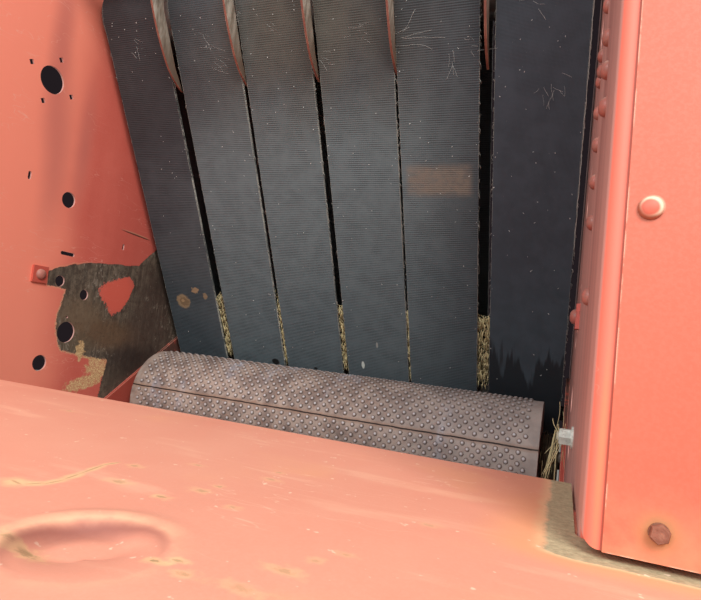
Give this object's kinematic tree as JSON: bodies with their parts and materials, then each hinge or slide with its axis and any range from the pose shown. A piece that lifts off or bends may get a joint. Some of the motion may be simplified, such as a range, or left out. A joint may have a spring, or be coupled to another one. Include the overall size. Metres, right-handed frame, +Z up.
{
  "type": "round baler bale chamber section",
  "caption": "Belt-and-drum section of a round baler's bale chamber, with side walls, flat belts on two rollers, a drum, belt guides and a front deck.",
  "frame": {"origin": "on the floor, midway between the side walls and midway along the section", "axes": "+X across the machine to the right side, +Y from the deck into the machine, +Z up"},
  "size_m": [1.508, 1.73, 1.44],
  "materials": {
    "red_paint": "sun-faded, worn",
    "belt_rubber": "matt, woven face",
    "drum_steel": "brown, worn by crop",
    "roller_steel": "rubbed by belts",
    "shaft_steel": "bright, light rust",
    "bearing_iron": "as cast",
    "guide_steel": "worn, painted edge"
  },
  "bodies": {
    "chamber_frame": {"left_side_wall": "red_paint", "right_side_wall": "red_paint", "left_level_rib": "red_paint", "right_level_rib": "red_paint", "left_upright_rib": "red_paint", "right_upright_rib": "red_paint", "left_front_panel": "red_paint", "right_front_panel": "red_paint", "left_drum_end_plate": "red_paint", "right_drum_end_plate": "red_paint", "left_stop_plate": "red_paint", "right_stop_plate": "red_paint", "left_deck_bracket": "red_paint", "right_deck_bracket": "red_paint", "left_upper_roller_bearing": "bearing_iron", "right_upper_roller_bearing": "bearing_iron", "left_lower_roller_bearing": "bearing_iron", "right_lower_roller_bearing": "bearing_iron", "left_drum_bearing": "bearing_iron", "right_drum_bearing": "bearing_iron", "front_deck": "red_paint", "deck_beam": "red_paint", "front_cross_tube": "red_paint", "rear_cross_tube": "red_paint", "top_cross_tube": "red_paint", "guide_tube": "red_paint", "belt_guide_1": "guide_steel", "belt_guide_2": "guide_steel", "belt_guide_3": "guide_steel", "belt_guide_4": "guide_steel", "belt_guide_5": "guide_steel", "belt_1": "belt_rubber", "belt_2": "belt_rubber", "belt_3": "belt_rubber", "belt_4": "belt_rubber", "belt_5": "belt_rubber", "belt_6": "belt_rubber"},
    "upper_roller_body": {"upper_roller": "roller_steel", "upper_roller_shaft": "shaft_steel"},
    "lower_roller_body": {"lower_roller": "roller_steel", "lower_roller_shaft": "shaft_steel"},
    "drum_body": {"drum_shell": "drum_steel", "drum_shaft": "shaft_steel"}
  },
  "joints": [
    {"name": "drum_spin", "type": "hinge", "parent": "chamber_frame", "child": "drum_body", "pos_m": [0, 0.4382, 0.26016], "axis": [1, 0, 0], "continuous": true},
    {"name": "upper_roller_spin", "type": "hinge", "parent": "chamber_frame", "child": "upper_roller_body", "pos_m": [0, 0.1405, 1.26839], "axis": [1, 0, 0], "continuous": true},
    {"name": "lower_roller_spin", "type": "hinge", "parent": "chamber_frame", "child": "lower_roller_body", "pos_m": [0, 0.6705, 0.3504], "axis": [1, 0, 0], "continuous": true}
  ],
  "couplings": [
    {"joint": "lower_roller_spin", "follows": "upper_roller_spin", "ratio": 1}
  ]
}
